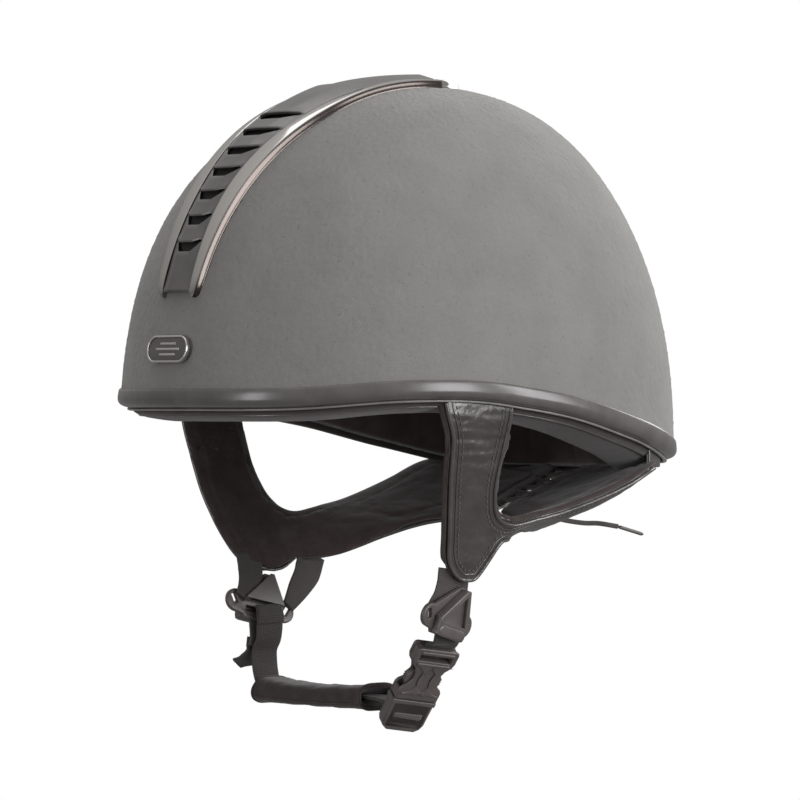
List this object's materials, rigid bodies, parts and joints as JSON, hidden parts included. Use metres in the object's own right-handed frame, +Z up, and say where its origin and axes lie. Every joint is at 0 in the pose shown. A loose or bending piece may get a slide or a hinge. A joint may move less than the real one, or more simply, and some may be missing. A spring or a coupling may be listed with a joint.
{
  "type": "equestrian riding helmet",
  "caption": "Domed riding helmet with a central vent strip, edge trim, foam liner, leather harness with laced nape, and a chin strap with a side-release buckle.",
  "frame": {"origin": "on the centre line, at the height of the edge trim's lower edge over the temples, in the middle of the head opening", "axes": "+Z up through the crown, -Y towards the front, +X towards the wearer's left"},
  "size_m": [0.2276, 0.2798, 0.3096],
  "materials": {
    "flock": "fine grey flock with a matt, slightly fuzzy face and a few darker specks",
    "shell_plastic": "moulded dark grey plastic",
    "foam": "dark expanded foam under a cloth skin",
    "lining": "dark brown-black knitted cloth",
    "trim": "satin dark grey extruded edging",
    "gunmetal": "polished gunmetal plating",
    "louvre": "satin dark grey moulded plastic",
    "leather": "soft dark leather with a light sheen, creases and stitched piping",
    "webbing": "tightly woven narrow webbing",
    "lace": "round braided lace",
    "buckle_plastic": "satin moulded acetal"
  },
  "bodies": {
    "helmet": {"shell_cover": "flock", "outer_shell": "shell_plastic", "impact_liner_front": "foam", "impact_liner_rear": "foam", "impact_liner_crown": "foam", "crown_padding": "lining", "edge_trim": "trim", "liner_binding": "lining", "headband": "lining", "vent_bezel": "gunmetal", "vent_louvre": "louvre", "vent_crown_plate": "louvre", "vent_mesh": "shell_plastic", "badge_rim": "gunmetal", "badge_plate": "louvre", "nape_lace": "lace", "lace_tail": "lace", "lace_aglet": "buckle_plastic", "front_strap_left": "leather", "rear_branch_left": "leather", "nape_pad_left": "leather", "front_anchor_left": "shell_plastic", "rear_tab_left": "leather", "web_front_left": "webbing", "web_rear_left": "webbing", "front_strap_right": "leather", "rear_branch_right": "leather", "nape_pad_right": "leather", "front_anchor_right": "shell_plastic", "rear_tab_right": "leather", "web_front_right": "webbing", "web_rear_right": "webbing", "lace_eyelet_1": "gunmetal", "lace_eyelet_2": "gunmetal", "lace_eyelet_3": "gunmetal", "lace_eyelet_4": "gunmetal", "lace_eyelet_5": "gunmetal", "lace_eyelet_6": "gunmetal"},
    "chin_strap": {"strap_guide_left": "buckle_plastic", "strap_guide_right": "buckle_plastic", "chin_web_left": "webbing", "chin_web_right": "webbing", "chin_web_tail": "webbing", "buckle_housing": "buckle_plastic"},
    "buckle_plug": {"buckle_plug": "buckle_plastic", "buckle_web_loop": "webbing"},
    "prong_front": {"buckle_prong_front": "buckle_plastic"},
    "prong_rear": {"buckle_prong_rear": "buckle_plastic"},
    "chin_pad": {"chin_pad": "lining"}
  },
  "joints": [
    {"name": "chin_strap_swing", "type": "hinge", "parent": "helmet", "child": "chin_strap", "pos_m": [0, -0.028, -0.088], "axis": [1, 0, 0], "range_deg": [-20, 25], "deforming": ["web_front_left", "web_front_right", "web_rear_left", "web_rear_right"]},
    {"name": "buckle_release", "type": "slide", "parent": "chin_strap", "child": "buckle_plug", "axis": [-0.6157, 0, -0.788], "range_m": [0, 0.022]},
    {"name": "prong_front_press", "type": "hinge", "parent": "buckle_plug", "child": "prong_front", "pos_m": [0.04136, -0.03472, -0.13361], "axis": [-0.7678, 0.225, 0.5999], "range_deg": [0, 7], "stiffness_Nm_per_rad": 0.05},
    {"name": "prong_rear_press", "type": "hinge", "parent": "buckle_plug", "child": "prong_rear", "pos_m": [0.04381, -0.02128, -0.13552], "axis": [0.7678, -0.225, -0.5999], "range_deg": [0, 7], "stiffness_Nm_per_rad": 0.05},
    {"name": "chin_pad_slide", "type": "slide", "parent": "chin_strap", "child": "chin_pad", "axis": [1, 0, 0], "range_m": [0, 0.008]}
  ]
}
